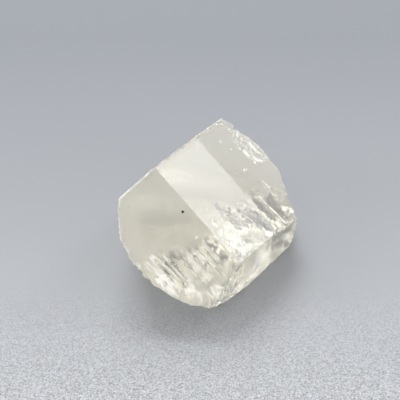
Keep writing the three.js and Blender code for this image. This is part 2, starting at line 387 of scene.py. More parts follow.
# %% [markdown]
# ## Where the stone is broken
#
# Places in the stone are given the way a crystal grows: how deep below the cleavage, and how far across
# from a corner of the face. The raised half is sound and clear. From a depth of about 13 mm on the stone
# is shattered, so its faces are pitted there and cracks run through it. The border between the two rises
# and falls across the stone.

# %% Places in the crystal, and the share of breakage at a place
BREAKAGE_FADE = 0.9 * MM
BORDER_WANDER = 0.6 * MM
WANDER_WIDTHS = (2.1 * MM, 0.7 * MM)
# across the whole stone from the edge between broad and bright, and the depth of the border there, in mm
BORDER_ACROSS = (-13.6, -8.9, -5.7, -1.8, 0.0, 3.4, 8.9, 11.8, 14.1)
BORDER_DEPTH = (9.9, 13.2, 14.8, 14.2, 13.5, 12.1, 13.9, 16.8, 19.4)


def corner_of(*names):
    """The point where three flat faces meet."""
    face_normals, distances = zip(*[flats[name] for name in names])
    return Matrix(face_normals).inverted() @ Vector(distances)


corners = {
    "broad": corner_of("broad", "bright", "cleavage"),
    "bright": corner_of("broad", "bright", "cleavage"),
    "side": corner_of("bright", "side", "cleavage"),
    "ramp": corner_of("bright", "side", "ramp"),
}


def place_on(name, across, depth, below):
    """A place on a face, or below it, in millimetres from the face's corner."""
    normal = flats[name][0]
    sideways = along_axis.cross(normal).normalized()
    up_the_face = normal.cross(sideways)
    return corners[name] + (sideways * across - up_the_face * depth - normal * below) * MM


def where_on(name, point):
    """Across and depth of a point of a face in millimetres: the other way round from place_on."""
    normal = flats[name][0]
    sideways = along_axis.cross(normal).normalized()
    offset = (point - corners[name]) / MM
    return offset.dot(sideways), -offset.dot(normal.cross(sideways))


def depth_of(point):
    return (corners["broad"] - point).dot(along_axis)


def smooth_step(value):
    value = min(max(value, 0.0), 1.0)
    return value * value * (3 - 2 * value)


def breakage(point):
    """0 where the stone is sound, 1 where it is shattered."""
    across = (point - corners["broad"]).dot(across_axis) / MM
    border = np.interp(across, BORDER_ACROSS, BORDER_DEPTH) * MM
    wander = sum(BORDER_WANDER * noise.noise(point / width) for width in WANDER_WIDTHS)
    return smooth_step((depth_of(point) + wander - border) / BREAKAGE_FADE)


for name, corner in corners.items():
    print(f"{name:7s} corner at", [round(x / MM, 2) for x in corner], "mm")

# %% [markdown]
# ## Worn edges
#
# The cleavage breaks off in splinters along its rim, and so does the left-hand edge of the broad face.
# They show as a thin pale line; white faces along the rim paint it too, partly as a painted highlight.
# The edges between the growth faces stay knife-sharp. A narrow strip of the mesh along the worn edges is
# smoothed, which takes a little off the edge, and more in some places than in others.

# %% Wear the rim of the cleavage and the edges against the walls
WORN_STRIP = 0.26 * MM
WEAR_ROUNDS = 3
WEAR_UNEVEN = 1.2  # how much the strip's width differs from place to place
WEAR_WIDTH = 0.9 * MM  # of those places
SHARP_FACES = {flat_names.index(name) for name in ("broad", "bright", "side", "ramp")}


def is_worn(edge):
    return is_border(edge) and not {face[flat_layer] for face in edge.link_faces} <= SHARP_FACES


def tree_of(places):
    """A list of places, set up so that the one nearest to a point is found quickly."""
    tree = KDTree(len(places))
    for i, place in enumerate(places):
        tree.insert(place, i)
    tree.balance()
    return tree


def strip_at(point, width):
    """Half the width of the worn strip at a point, which differs from place to place."""
    return width * (1 + WEAR_UNEVEN * noise.noise(point / WEAR_WIDTH))


rim_tree = tree_of([v.co.copy() for e in stone.edges if is_worn(e) for v in e.verts])
for turn in range(WEAR_ROUNDS):
    strip = WORN_STRIP * (WEAR_ROUNDS - turn) / WEAR_ROUNDS
    worn = [v for v in stone.verts if rim_tree.find(v.co)[2] < strip_at(v.co, strip)]
    smooth(worn, 1)
cleavage_number, broad_number = flat_names.index("cleavage"), flat_names.index("broad")


def splinters_on(edge):
    """Whether an edge is part of the rim that shows splinters."""
    kinds = {face[flat_layer] for face in edge.link_faces}
    if kinds == {broad_number, WALLS}:
        return breakage(edge.verts[0].co) < 0.5 and edge.verts[0].co.x < corners["broad"].x
    return cleavage_number in kinds and bool(kinds & SHARP_FACES)


rim_edges = []
for edge in stone.edges:
    if splinters_on(edge):
        sides = [along_axis if f[flat_layer] == cleavage_number else f.normal for f in edge.link_faces]
        rim_edges.append((*(v.co.copy() for v in edge.verts), *(side.copy() for side in sides)))
print("last worn strip:", len(worn), "points; splintered edges:", len(rim_edges))

# %% [markdown]
# ## The smooth break
#
# Behind and under the sound half, the stone broke in one soft, rolling surface, not in planes. Low, wide
# swells are taken out of it there, across the edges between the flats, and the edges are smoothed away.

# %% Roll the break under the sound half
SWELL = 0.7 * MM
SWELL_WIDTH = 5 * MM
SWELL_ROUNDS = 200
BREAKS = {WALLS, flat_names.index("resting"), flat_names.index("back")}

stone.normal_update()
breaks = [v for v in stone.verts if {f[flat_layer] for f in v.link_faces} <= BREAKS]
rolled = [v for v in breaks if breakage(v.co) < 1]
for v in rolled:
    v.co -= v.normal * (SWELL * (1 - breakage(v.co)) * (0.5 + 0.5 * noise.noise(v.co / SWELL_WIDTH)))
smooth(rolled, SWELL_ROUNDS)
lowest = min(v.co.z for v in stone.verts)
print("rolled:", len(rolled), "points; lowest point", round(lowest / MM, 3), "mm")

# %% [markdown]
# ## Blunt corners
#
# Where three breaks meet, a real stone has lost its sharpest tip. A point is too sharp when the angles
# of the triangles around it add up to little; the mesh close to it is smoothed.

# %% Take off the spikes
SPIKE_ANGLE = math.radians(210)
SPIKE_REACH = 1.2 * MM
SPIKE_ROUNDS = 12


def angle_around(vert):
    return sum(loop.calc_angle() for loop in vert.link_loops)


spikes = [v.co.copy() for v in stone.verts if angle_around(v) < SPIKE_ANGLE]
blunted = [v for v in stone.verts if any((v.co - spike).length < SPIKE_REACH for spike in spikes)]
smooth(blunted, SPIKE_ROUNDS)
print("spikes:", len(spikes), "points smoothed:", len(blunted))

# %% [markdown]
# ## Relief
#
# Broken topaz shows small flat steps, each tilted its own way, with ridges between. Each point belongs
# to the nearest of many scattered seeds, and each seed has its own tilt, so the surface breaks up in
# little facets. On the broad face they are drawn out along the crystal, like the growth lines there.
# Beside the sound half of the side face a piece has flaked off. The scar that it left is rougher than
# the walls around it.

# %% Facets on the breaks, lines on the broad face, a ridge along the ramp
# for each face: start height in mm, size in mm and slope of each set of facets, share in sound stone,
# and how many times longer than wide the facets are, along the crystal
RELIEF = {
    "broad": (0.02, ((1.3, 0.07), (0.45, 0.06)), 0.0, 3.5),
    "bright": (0.01, ((1.4, 0.05), (0.45, 0.10)), 0.0, 1.3),
    "side": (0.01, ((1.4, 0.08), (0.55, 0.15)), 0.0, 1.8),
    "cleavage": (0.0, (), 0.0, 1.0),
    "ramp": (0.02, ((2.2, 0.08), (0.7, 0.12)), 1.0, 1.0),
    "resting": (0.2, ((1.8, 0.70), (0.7, 0.35)), 0.0, 1.0),
    "back": (0.05, ((1.5, 0.20), (0.6, 0.20)), 0.0, 1.0),
    "walls": (0.12, ((1.7, 0.70), (0.6, 0.30)), 0.0, 1.0),
    "scar": (0.12, ((1.3, 0.50), (0.5, 0.70)), 1.0, 1.0),
}
SCAR_DEPTH = 4 * MM  # how far below the side face its scar reaches
SCAR_END = 11 * MM  # how far below the cleavage
TILT_SCATTER = 97.3  # so large that seeds next to each other get tilts that have nothing in common


def face_name(face):
    """The name of the flat face that a triangle lies on, or walls."""
    return "walls" if face[flat_layer] == WALLS else flat_names[face[flat_layer]]


def is_by_scar(point):
    """Whether a point of a broken wall lies close under the plane of the side face."""
    normal, distance = flats["side"]
    return distance - point.dot(normal) < SCAR_DEPTH


def drawn_out(point, share):
    """A point less a share of its way along the crystal: a pattern that is read there is drawn out."""
    return point - along_axis * (point.dot(along_axis) * share)


def facets(point, size, slope):
    """Height of a surface of small tilted facets: the nearest seed point gives each place its tilt."""
    seed = noise.voronoi(point / size)[1][0]
    tilt = noise.cell_vector(seed * TILT_SCATTER) - Vector((0.5, 0.5, 0.5))
    return slope * tilt.dot(point - seed * size)


# Growth lines of the broad face: place across, width, depth where it starts and where it ends, all in
# mm. The left wall of each is as steep as the bright face, which is why it shines like it; the right
# wall is gentle and dull.
growth_lines = [
    (-10.8, 0.4, 11.3, 14.6), (-8.9, 0.9, 12.2, 18.3), (-7.1, 0.4, 15.5, 19.4), (-3.5, 0.5, 16.5, 19.6),
]
FAINT_LINE_COUNT = 8
STEEP = math.tan(broad_normal.angle(flats["bright"][0]))
STEEP_SHARE = 0.5  # of a line's width
LINE_END = 0.5  # in mm: a line fades out over this length

line_chance = random.Random(5)
for _ in range(FAINT_LINE_COUNT):
    top = line_chance.uniform(11.5, 18.5)
    left, width = line_chance.uniform(-13, -0.8), line_chance.uniform(0.2, 0.35)
    growth_lines.append((left, width, top, top + line_chance.uniform(1.2, 4.5)))


def line_depth(point):
    """How deep the growth lines are at a point of the broad face."""
    across = (point - corners["broad"]).dot(across_axis) / MM
    depth = depth_of(point) / MM
    deepest = 0.0
    for left, width, top, bottom in growth_lines:
        share = (across - left) / width
        if 0 < share < 1 and top < depth < bottom:
            ends = smooth_step(min(depth - top, bottom - depth) / LINE_END)
            profile = min(share / STEEP_SHARE, (1 - share) / (1 - STEEP_SHARE))
            deepest = max(deepest, profile * ends * width * STEEP_SHARE * STEEP)
    return deepest * MM


# The ramp is not quite one plane: a low ridge runs along it and parts a dull upper strip from a paler
# lower one. Its left end is much rougher than the rest, and clearer.
RAMP_RIDGE = 0.3 * MM
RIDGE_DEPTH, RIDGE_REACH = 4.6, 4.2  # in mm
ROUGH_END = (-10.5, -6.5)  # across, in mm: all rough up to the first, like the rest from the second on
ROUGH_END_HEIGHT = 1.8  # how many times higher the facets are there


def large_form(name, point):
    """How far inwards the larger forms of a face lie: growth lines, and the ramp's ridge (outwards)."""
    if name == "broad":
        return line_depth(point)
    if name == "ramp":
        from_ridge = abs(where_on("ramp", point)[1] - RIDGE_DEPTH)
        return -RAMP_RIDGE * max(0.0, 1 - from_ridge / RIDGE_REACH)
    return 0.0


def relief(name, point):
    """How far inwards a point of a face lies."""
    start, sets, sound_share, length = RELIEF[name]
    drawn = drawn_out(point, 1 - 1 / length)
    height = start * MM + sum(facets(drawn, size * MM, slope) for size, slope in sets)
    if name == "ramp":
        height *= np.interp(where_on("ramp", point)[0], ROUGH_END, (ROUGH_END_HEIGHT, 1))
    share = sound_share + (1 - sound_share) * breakage(point)
    return large_form(name, point) + max(0.0, height) * share


stone.normal_update()
moves = []
for v in stone.verts:
    names = {face_name(face) for face in v.link_faces}
    if len(names) == 1:
        name = names.pop()
        if name == "walls" and is_by_scar(v.co) and depth_of(v.co) < SCAR_END:
            name = "scar"
        normal = flats[name][0] if name in flats else v.normal
        moves.append((v, normal * -relief(name, v.co)))
for v, move in moves:
    v.co += move
stone.normal_update()
print("deepest relief:", round(max(move.length for v, move in moves) / MM, 2), "mm")

# %% [markdown]
# ## Crushed white and painted glints
#
# Where topaz has been struck or has begun to splinter, its surface is crushed to a white powder of tiny
# chips that lets no light through. The same opaque white also paints glints and highlights where the
# stone would catch the light. It shows as white lines along the crystal (painted highlights, partly
# crushed stone), as flecks in the shattered half, as painted glints in the side face and as small dots
# on the broad face, and as a thin white line along the rim of the cleavage, partly splinters and partly a
# painted highlight. Each small face of the mesh is either clear or white, so the white has the ragged
# edge that crushed stone has.

# %% Where the surface is crushed white, and where glints are painted white
# white lines, painted highlights and partly crushed stone: face, then across and depth of both ends, and
# half the width at each end, in mm
GLINT_AND_CRUSH_LINES = (
    ("broad", -10.8, 11.0, -10.2, 17.2, 0.09, 0.18), ("broad", -10.0, 11.2, -9.35, 17.0, 0.08, 0.11),
    ("broad", -8.8, 12.1, -8.5, 18.0, 0.10, 0.42), ("broad", -5.7, 15.2, -5.7, 20.3, 0.07, 0.10),
    ("broad", -4.1, 16.3, -3.3, 19.4, 0.07, 0.09), ("broad", -11.6, 11.7, -11.5, 14.0, 0.07, 0.10),
    ("broad", -12.3, 11.5, -12.0, 12.6, 0.04, 0.06), ("broad", -4.6, 15.5, -4.5, 17.0, 0.05, 0.05),
    ("side", 2.4, 15.1, 3.05, 21.8, 0.12, 0.17), ("side", 6.1, 13.3, 6.4, 15.1, 0.08, 0.08),
)
# white zones, crushed stone and painted glints: face, across, depth, and how far the zone reaches each
# way, in mm, then the share of it that is white; a share over 1 whitens more of its rim. The zones on the
# side face, and the small ones on the broad face with a share of 1.3, are painted glints.
GLINT_AND_CRUSH_ZONES = (
    ("broad", -11.4, 16.0, 1.5, 3.6, 0.85), ("broad", -8.3, 20.0, 2.0, 2.8, 0.5),
    ("broad", -5.8, 23.5, 1.6, 1.6, 0.6), ("broad", -6.0, 13.7, 0.25, 0.25, 0.9),
    ("broad", -2.5, 13.7, 0.25, 0.25, 0.9), ("broad", -1.4, 15.6, 0.4, 0.3, 0.6),
    ("broad", -13.2, 10.8, 0.4, 0.5, 1.0), ("broad", -6.7, 12.3, 0.2, 0.3, 0.8),
    ("broad", -4.9, 17.7, 1.5, 1.8, 0.3), ("broad", -8.2, 5.8, 0.2, 0.2, 1.3),
    ("broad", -8.0, 4.4, 0.12, 0.14, 1.3), ("broad", -12.3, 7.5, 0.15, 0.2, 1.3),
    ("ramp", -5.5, 4.0, 2.2, 2.8, 0.9), ("ramp", 1.3, 5.3, 1.3, 0.4, 1.1),
    ("ramp", -12.5, 5.5, 5.0, 5.0, 0.3),
    ("bright", 2.5, 14.5, 2.4, 2.6, 0.35), ("bright", 2.4, 19.5, 2.2, 3.0, 0.4),
    ("side", 8.6, 7.7, 0.7, 1.0, 1.0), ("side", 7.8, 6.4, 0.4, 0.5, 0.9),
    ("side", 9.7, 9.6, 0.5, 0.9, 0.9), ("side", 10.4, 3.9, 0.5, 0.4, 1.0),
    ("side", 12.4, 7.8, 0.5, 1.9, 1.0), ("side", 11.4, 5.2, 0.4, 0.6, 1.0),
    ("side", 4.3, 9.8, 0.2, 0.2, 1.0), ("side", 4.8, 10.0, 0.18, 0.22, 1.0),
    ("side", 5.3, 5.6, 0.2, 0.2, 1.0), ("side", 4.5, 3.4, 0.18, 0.2, 0.9),
    ("side", 7.9, 10.0, 0.35, 0.3, 1.0),
)
# share of white flecks in the shattered stone of each face: crushed stone, and painted glints
GLINT_AND_CRUSH_EVERYWHERE = {"broad": 0.10, "bright": 0.03, "side": 0.02, "ramp": 0.05, "walls": 0.05}
GLINT_AND_CRUSH_RAGGED = 0.9  # how far the outline of a white patch wanders, as a share of its size
GLINT_AND_CRUSH_WIDTH = 0.4 * MM  # of the places where it wanders out or in
FLECK_WIDTH = 0.35 * MM
FINE_FLECK_WIDTH = 0.13 * MM
FINE_FLECKS = 0.6  # their strength beside the coarse ones
FLECK_STRETCH = 0.65  # share taken off along the crystal, so flecks are about three times longer than wide
FLECK_LEVEL = 0.75  # how high the flecks must rise to show where hardly anything is white
FLECK_DROP = 1.3  # how much that level sinks where all is white
LEAST_GLINT_AND_CRUSH = 0.02  # share under which no fleck shows
# the white line along the rim: partly splinters, partly a painted highlight
RIM_GLINT_AND_SPLINTER_WIDTH = 0.26 * MM
RIM_GLINT_AND_SPLINTER_LEVEL = 0.35  # of that width is white wherever the flecks are at their middle height


def glint_and_crush_share(name, point):
    """The share of the surface around a point that is white: crushed stone, and painted glints."""
    share = GLINT_AND_CRUSH_EVERYWHERE.get(name, 0.0) * breakage(point)
    if name == "walls" and is_by_scar(point):
        name = "side"
    if name not in corners:
        return share
    across, depth = where_on(name, point)
    for zone, middle_across, middle_depth, half_across, half_depth, most in GLINT_AND_CRUSH_ZONES:
        reach = math.hypot((across - middle_across) / half_across, (depth - middle_depth) / half_depth)
        reach += GLINT_AND_CRUSH_RAGGED * noise.noise(point / GLINT_AND_CRUSH_WIDTH)
        if zone == name and reach < 1:
            share = max(share, most * smooth_step(2 * (1 - reach)))
    for line, start_across, start, end_across, end, start_width, end_width in GLINT_AND_CRUSH_LINES:
        if line == name and start < depth < end:
            middle = np.interp(depth, (start, end), (start_across, end_across))
            if abs(across - middle) < np.interp(depth, (start, end), (start_width, end_width)):
                share = 1.0
    return share


splinter_tree = tree_of([(start + end) / 2 for start, end, _, _ in rim_edges])


def is_glint_and_crush(face):
    """Whether a face is white, crushed stone and painted glints: flecks along the crystal, and the rim."""
    centre = face.calc_center_median()
    drawn = drawn_out(centre, FLECK_STRETCH)
    flecks = noise.noise(drawn / FLECK_WIDTH) + FINE_FLECKS * noise.noise(drawn / FINE_FLECK_WIDTH)
    on_rim = splinter_tree.find(centre)[2] < RIM_GLINT_AND_SPLINTER_WIDTH * (RIM_GLINT_AND_SPLINTER_LEVEL + flecks)
    share = glint_and_crush_share(face_name(face), centre)
    return on_rim or share > LEAST_GLINT_AND_CRUSH and flecks > FLECK_LEVEL - FLECK_DROP * share


# each face is clear or white; the white is crushed stone and painted glints and highlights
glint_and_crush_faces = [int(is_glint_and_crush(face)) for face in stone.faces]
print("crushed:", sum(glint_and_crush_faces), "of", len(glint_and_crush_faces), "faces")

# %% [markdown]
# ## The stone as one object
#
# Frosting differs from face to face. The growth faces have a satin sheen, the cleavage and the ramp are
# duller, the breaks under the sound half are as dull as ground glass, and fresh fractures in the
# shattered half are glass-clear. The share of frosting is written on the mesh, so that one material can
# make all of them. Borders between faces are always sharp, however little they bend, and so is every
# edge that bends more than a little.

# %% Frosting, and the stone's own mesh
SHARP_ANGLE = math.radians(24)
NO_ANGLE = 0  # for an edge with a single face
# share of frosting in sound and in shattered stone; the breaks, which are not listed, have BREAK_FROST
FROST = {
    "broad": (0.3, 0.3), "bright": (0.22, 0.20), "side": (0.15, 0.1), "cleavage": (0.45, 0.45),
    "ramp": (0.4, 0.4),
}
BREAK_FROST = (1.0, 0.05)
ROUGH_END_FROST = 0.25


def frost_of(face):
    """Share of fine frosting on a face. It changes from sound to shattered stone, and along the ramp."""
    name, centre = face_name(face), face.calc_center_median()
    sound, shattered = FROST.get(name, BREAK_FROST)
    if name == "ramp":
        return np.interp(where_on(name, centre)[0], ROUGH_END, (ROUGH_END_FROST, shattered))
    return sound + (shattered - sound) * breakage(centre)


for edge in stone.edges:
    edge.smooth = not is_border(edge) and edge.calc_face_angle(NO_ANGLE) < SHARP_ANGLE
body_tree = BVHTree.FromBMesh(stone)
frost = [frost_of(face) for face in stone.faces]
stone_mesh = bpy.data.meshes.new("topaz_body")
stone.to_mesh(stone_mesh)
stone.free()
stone_mesh.attributes.new("frost", "FLOAT", "FACE").data.foreach_set("value", frost)
stone_mesh.polygons.foreach_set("use_smooth", [True] * len(stone_mesh.polygons))
stone_mesh.polygons.foreach_set("material_index", glint_and_crush_faces)
body = add_object("topaz_body", stone_mesh)
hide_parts("crystal")
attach(body, "root")
print("topaz_body:", len(stone_mesh.polygons), "faces")

# %% [markdown]
# ## Cracks inside
#
# A crack in a clear stone is a very thin gap of air. It is seen because light is reflected at the gap.
# Each one here is a closed lens: two wavy sheets that meet along a ragged rim. Their front sides are
# turned into the gap, because the stone is what lies outside them.

# %% One crack as a closed lens
CRACK_SIDES = 14
CRACK_RINGS = 3
GAP = 0.03 * MM
MEAN_REACH = 0.8  # of the rim, as a share of a crack's radius
RAGGEDNESS = 0.6  # how far the rim wanders in and out of that
RAGGED_DETAIL = 1.7  # how quickly it wanders
WAVINESS = 0.12  # height of a crack's waves, as a share of its radius
WAVE_DETAIL = 1.3  # how closely they follow one another

chance = random.Random(3)


def any_direction():
    return Vector([chance.gauss(0, 1) for _ in range(3)]).normalized()


def lens(centre, normal, radius, long_side, length):
    """Points of a lens: middle and rings of the upper sheet, those of the lower one, the shared rim."""
    first = (long_side - normal * long_side.dot(normal)).normalized()
    second = normal.cross(first)
    shift = Vector([chance.uniform(0, 50) for _ in range(3)])
    upper, lower, rim = [], [], []
    for ring in range(CRACK_RINGS + 1):
        share = ring / CRACK_RINGS
        for side in range(CRACK_SIDES if ring else 1):
            turn = math.tau * side / CRACK_SIDES
            out = first * math.cos(turn) * length + second * math.sin(turn)
            reach = MEAN_REACH + RAGGEDNESS * noise.noise(out * RAGGED_DETAIL + shift)
            spot = centre + out * (radius * share * reach)
            wave = noise.noise((spot - centre) * (WAVE_DETAIL / radius) + shift)
            spot += normal * (WAVINESS * radius * wave)
            half = normal * (GAP / 2 * math.sqrt(1 - share * share))
            if ring == CRACK_RINGS:
                rim.append(spot)
            else:
                upper.append(spot + half)
                lower.append(spot - half)
    return upper + lower + rim


def lens_faces():
    """Triangles of a lens, with their front sides turned into the gap."""
    sheet = 1 + CRACK_SIDES * (CRACK_RINGS - 1)
    rim = [2 * sheet + side for side in range(CRACK_SIDES)]
    faces = []
    for middle_number, is_upper in ((0, True), (sheet, False)):
        starts = [middle_number + 1 + ring * CRACK_SIDES for ring in range(CRACK_RINGS - 1)]
        rings = [[start + side for side in range(CRACK_SIDES)] for start in starts] + [rim]
        for side in range(CRACK_SIDES):
            after = (side + 1) % CRACK_SIDES
            wedge = [(middle_number, rings[0][side], rings[0][after])]
            for inner, outer in zip(rings, rings[1:]):
                wedge.append((inner[side], outer[side], outer[after]))
                wedge.append((inner[side], outer[after], inner[after]))
            faces += [triangle[::-1] for triangle in wedge] if is_upper else wedge
    return faces


LENS_FACES = lens_faces()
print("one crack:", len(LENS_FACES), "triangles")

# %% [markdown]
# ## Cracks that fit
#
# A crack that reached the surface would open the stone, so each is tested against the body and made
# smaller until it fits. There are three kinds: clear ones that flash, frosted ones that show white, and
# grey ones that darken patches of the stone as painted shade.

# %% Add a crack only where it has room
SAFE = 0.06 * MM  # least distance from a crack to the stone's surface
FITTING_ROUNDS = 4
MADE_SMALLER = 0.7
OUTWARDS = ((0.1, 0.2, 1), (1, 0.1, 0.2), (-1, -0.2, 0.1), (0.2, 1, -0.1), (0.1, -1, 0.2))

crack_points = defaultdict(list)
crack_faces = defaultdict(list)


def is_in_stone(point):
    """Whether the first surface met in each of several directions is seen from behind."""
    for way in map(Vector, OUTWARDS):
        spot, normal, _, _ = body_tree.ray_cast(point, way)
        if not spot or normal.dot(way) < 0:
            return False
    return True


def has_room(shape, centre):
    """Whether no point of a shape lies near the stone's surface or beyond it."""
    for point in shape:
        out = point - centre
        is_crossing = body_tree.ray_cast(centre, out, out.length + SAFE)[0] is not None
        if is_crossing or body_tree.find_nearest(point)[3] < SAFE:
            return False
    return True


def add_crack(kind, centre, normal, radius, long_side=along_axis, length=1.0):
    """Adds a crack, made smaller until it fits inside the stone; tells whether it did."""
    if not is_in_stone(centre):
        return False
    for _ in range(FITTING_ROUNDS):
        shape = lens(centre, normal.normalized(), radius, long_side, length)
        if has_room(shape[1:], centre):
            start = len(crack_points[kind])
            crack_points[kind].extend(shape)
            crack_faces[kind].extend([tuple(start + i for i in face) for face in LENS_FACES])
            return True
        radius *= MADE_SMALLER
    return False


# %% [markdown]
# ## Cracks that flash
#
# A crack flashes when it lies like a mirror between a light and the eye. Both are bent on their way into
# the stone, so the bent directions count. The lights are placed later, but the direction of the window
# is needed here: its light comes from behind, enters through the cleavage, and is mirrored to the eye by
# these cracks.

# %% Directions inside the stone, and cracks placed like mirrors
TOPAZ_IOR = 1.62
WINDOW_DIRECTION = Vector((-0.12, 0.62, 0.7)).normalized()


def refract(direction, name):
    """Direction of a ray after it enters the stone through a face."""
    normal = flats[name][0]
    cosine = -direction.dot(normal) / TOPAZ_IOR
    sine_squared = (1 - direction.dot(normal) ** 2) / TOPAZ_IOR**2
    return (direction / TOPAZ_IOR + normal * (cosine - math.sqrt(1 - sine_squared))).normalized()


towards_window = -refract(-WINDOW_DIRECTION, "cleavage")


def flash_normal(name):
    """How a crack must lie to show the window's light through a face."""
    return (towards_window - refract(look, name)).normalized()


# face, then across, depth, how far below the face, and radius, all in mm
FLASHES = (
    ("side", 8.5, 7.7, 1.2, 0.4), ("side", 9.4, 9.4, 1.5, 0.3), ("side", 10.0, 3.7, 2.0, 0.5),
    ("side", 5.3, 5.6, 0.5, 0.15), ("side", 4.4, 9.9, 0.5, 0.2), ("side", 6.2, 14.2, 0.6, 0.5),
)
FLASH_SCATTER = 0.1  # how far a crack is turned away from a true mirror, at random
FLICKER_COUNT = 150
FLICKER_SCATTER = 0.3
FLICKER_BREAKAGE = 0.3  # least breakage where they lie

for name, across, depth, below, radius in FLASHES:
    normal = flash_normal(name) + any_direction() * FLASH_SCATTER
    fits = add_crack("clear", place_on(name, across, depth, below), normal, radius * MM)
    print(f"{name} {across} {depth}:", "fits" if fits else "has no room")
for _ in range(FLICKER_COUNT):
    place = place_on("broad", chance.uniform(-14.5, -0.5), chance.uniform(11, 24), chance.uniform(0.3, 4))
    normal = flash_normal("broad") + any_direction() * FLICKER_SCATTER
    if breakage(place) > FLICKER_BREAKAGE:
        kind = chance.choice(("clear", "frosted", "frosted"))
        add_crack(kind, place, normal, chance.uniform(0.1, 0.5) * MM)

# %% [markdown]
# ## White patches and painted grey shade
#
# Close under the faces lie dense patches of cracks. Beside the scar and under the rough end of the ramp
# they are frosted and turned to the light, and show white. Elsewhere they lie flat under a face and are
# grey, and show as a dull grey haze: painted shade that darkens those patches. A patch is many small
# cracks scattered along a line.

# %% Patches near the faces
# kind, face, across and depth of both ends, how far below, spread, count, and radius; lengths in mm
PATCHES = (
    ("frosted", "side", 7.8, 6.4, 9.8, 10.2, 1.1, 0.25, 26, 0.22),
    ("frosted", "side", 9.4, 1.5, 12.8, 9.0, 1.6, 0.2, 30, 0.25),
    ("frosted", "side", 7.3, 0.5, 9.4, 1.6, 0.5, 0.15, 12, 0.2),
    ("frosted", "side", 4.2, 9.8, 4.6, 10.0, 0.35, 0.15, 6, 0.12),
    ("frosted", "ramp", -7.5, 1.5, -3.5, 6.5, 0.5, 0.7, 50, 0.35),
    ("frosted", "ramp", -16.0, 3.0, -10.0, 9.0, 0.5, 0.8, 50, 0.35),
    # grey cracks that darken patches of the faces: painted shade
    ("stained", "side", 4.4, 16.3, 4.4, 20.0, 0.4, 0.4, 40, 0.5),
    ("stained", "side", 1.2, 15.0, 1.5, 19.8, 0.4, 0.2, 30, 0.4),
    ("stained", "bright", 10.4, 16.6, 11.8, 20.4, 1.0, 0.4, 66, 0.6),
    ("stained", "bright", 5.5, 12.3, 9.5, 16.0, 1.2, 0.6, 18, 0.5),
    ("stained", "bright", 6.0, 15.0, 9.5, 17.5, 1.6, 0.6, 14, 0.5),
    ("stained", "broad", -7.3, 13.8, -6.9, 14.6, 1.0, 0.7, 8, 0.35),
    ("stained", "broad", -3.6, 14.4, -3.2, 15.2, 1.0, 0.6, 7, 0.3),
    ("stained", "broad", -1.5, 14.2, -1.3, 20.5, 0.6, 0.6, 18, 0.35),
    ("stained", "ramp", -2.0, 1.5, 6.0, 3.0, 0.8, 0.5, 14, 0.7),
    ("stained", "ramp", 0.0, 4.5, 6.5, 5.5, 0.8, 1.2, 26, 0.55),
    ("stained", "broad", -9.3, 12.5, -9.2, 16.8, 0.35, 0.08, 14, 0.15),
)
PATCH_SCATTER = 0.25

for kind, name, *ends, below, spread, count, radius in PATCHES:
    for i in range(count):
        share = (i + chance.random()) / count
        across = ends[0] + (ends[2] - ends[0]) * share + chance.gauss(0, spread)
        depth = ends[1] + (ends[3] - ends[1]) * share + chance.gauss(0, spread)
        place = place_on(name, across, depth, below * chance.uniform(0.7, 1.8))
        normal = flats[name][0] if kind == "stained" else flash_normal(name)
        normal = normal + any_direction() * PATCH_SCATTER
        size = radius * chance.uniform(0.4, 1.4) * MM
        add_crack(kind, place, normal, size, length=chance.uniform(1, 2.2))

# %% [markdown]
# ## Splintered rim
#
# Along the rim of the cleavage, and down the left edge of the broad face, tiny splinters have started
# but not come off. They are short frosted cracks that follow the edge, and they show as a thin white
# line.

# %% Splinters along the rim
SPLINTER_INWARDS = 0.2 * MM
SPLINTERED_SHARE = 0.55  # of the rim's edges
SPLINTER_SCATTER = 0.3

for start, end, first_normal, second_normal in rim_edges:
    if chance.random() < SPLINTERED_SHARE:
        inwards = -(first_normal + second_normal) * (SPLINTER_INWARDS * chance.uniform(0.5, 1.3))
        place = (start + end) / 2 + inwards
        normal = flash_normal("broad") + any_direction() * SPLINTER_SCATTER
        radius = chance.uniform(0.05, 0.13) * MM
        add_crack("frosted", place, normal, radius, end - start, chance.uniform(1.5, 4))

# %% [markdown]
# ## Cracks through the shattered half
#
# Topaz splits most easily square across its long axis, so most of the cracks deeper in lie that way. The
# rest lie anyhow.

# %% Fill the shattered half, and make the crack pieces
CRACK_COUNT = 60
CLEAVED_SHARE = 0.6  # of the cracks: those that lie square across the long axis
CLEAVED_SPREAD = 0.35
FREE_SPREAD = 1.5

made = 0
while made < CRACK_COUNT:
    centre = Vector([chance.uniform(*span) for span in zip(*cad_box)])
    if chance.random() > breakage(centre):
        continue
    spread = CLEAVED_SPREAD if chance.random() < CLEAVED_SHARE else FREE_SPREAD
    radius = chance.uniform(0.3, 1.6) ** 1.5 * MM
    made += add_crack("clear", centre, along_axis + any_direction() * spread, radius)

crack_meshes = {}
for kind in crack_points:
    mesh = bpy.data.meshes.new(f"{kind}_cracks")
    mesh.from_pydata(crack_points[kind], [], crack_faces[kind])
    mesh.polygons.foreach_set("use_smooth", [True] * len(mesh.polygons))
    crack_meshes[kind] = mesh
    piece = add_object(f"{kind}_cracks", mesh)
    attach(piece, "root")
    print(f"{kind}: {len(mesh.polygons) // len(LENS_FACES)} cracks, {len(mesh.polygons)} faces")

# %% [markdown]
# ## Specks
#
# A black grain sits in the broad face, with a few much smaller ones to its left. Each is a lump pushed
# out of round by noise, and a part of it stands out of the face.

# %% Dark grains in the broad face
# across, depth and radius in mm
GRAINS = (
    (-1.4, 8.9, 0.26), (-7.9, 2.3, 0.06), (-8.15, 3.05, 0.05), (-8.35, 3.5, 0.04),
    (-10.8, 4.8, 0.06), (-10.6, 3.6, 0.04),
)
GRAIN_SHOWS = 0.6  # share of a grain's radius that stands out of the face
LUMPINESS = 0.5

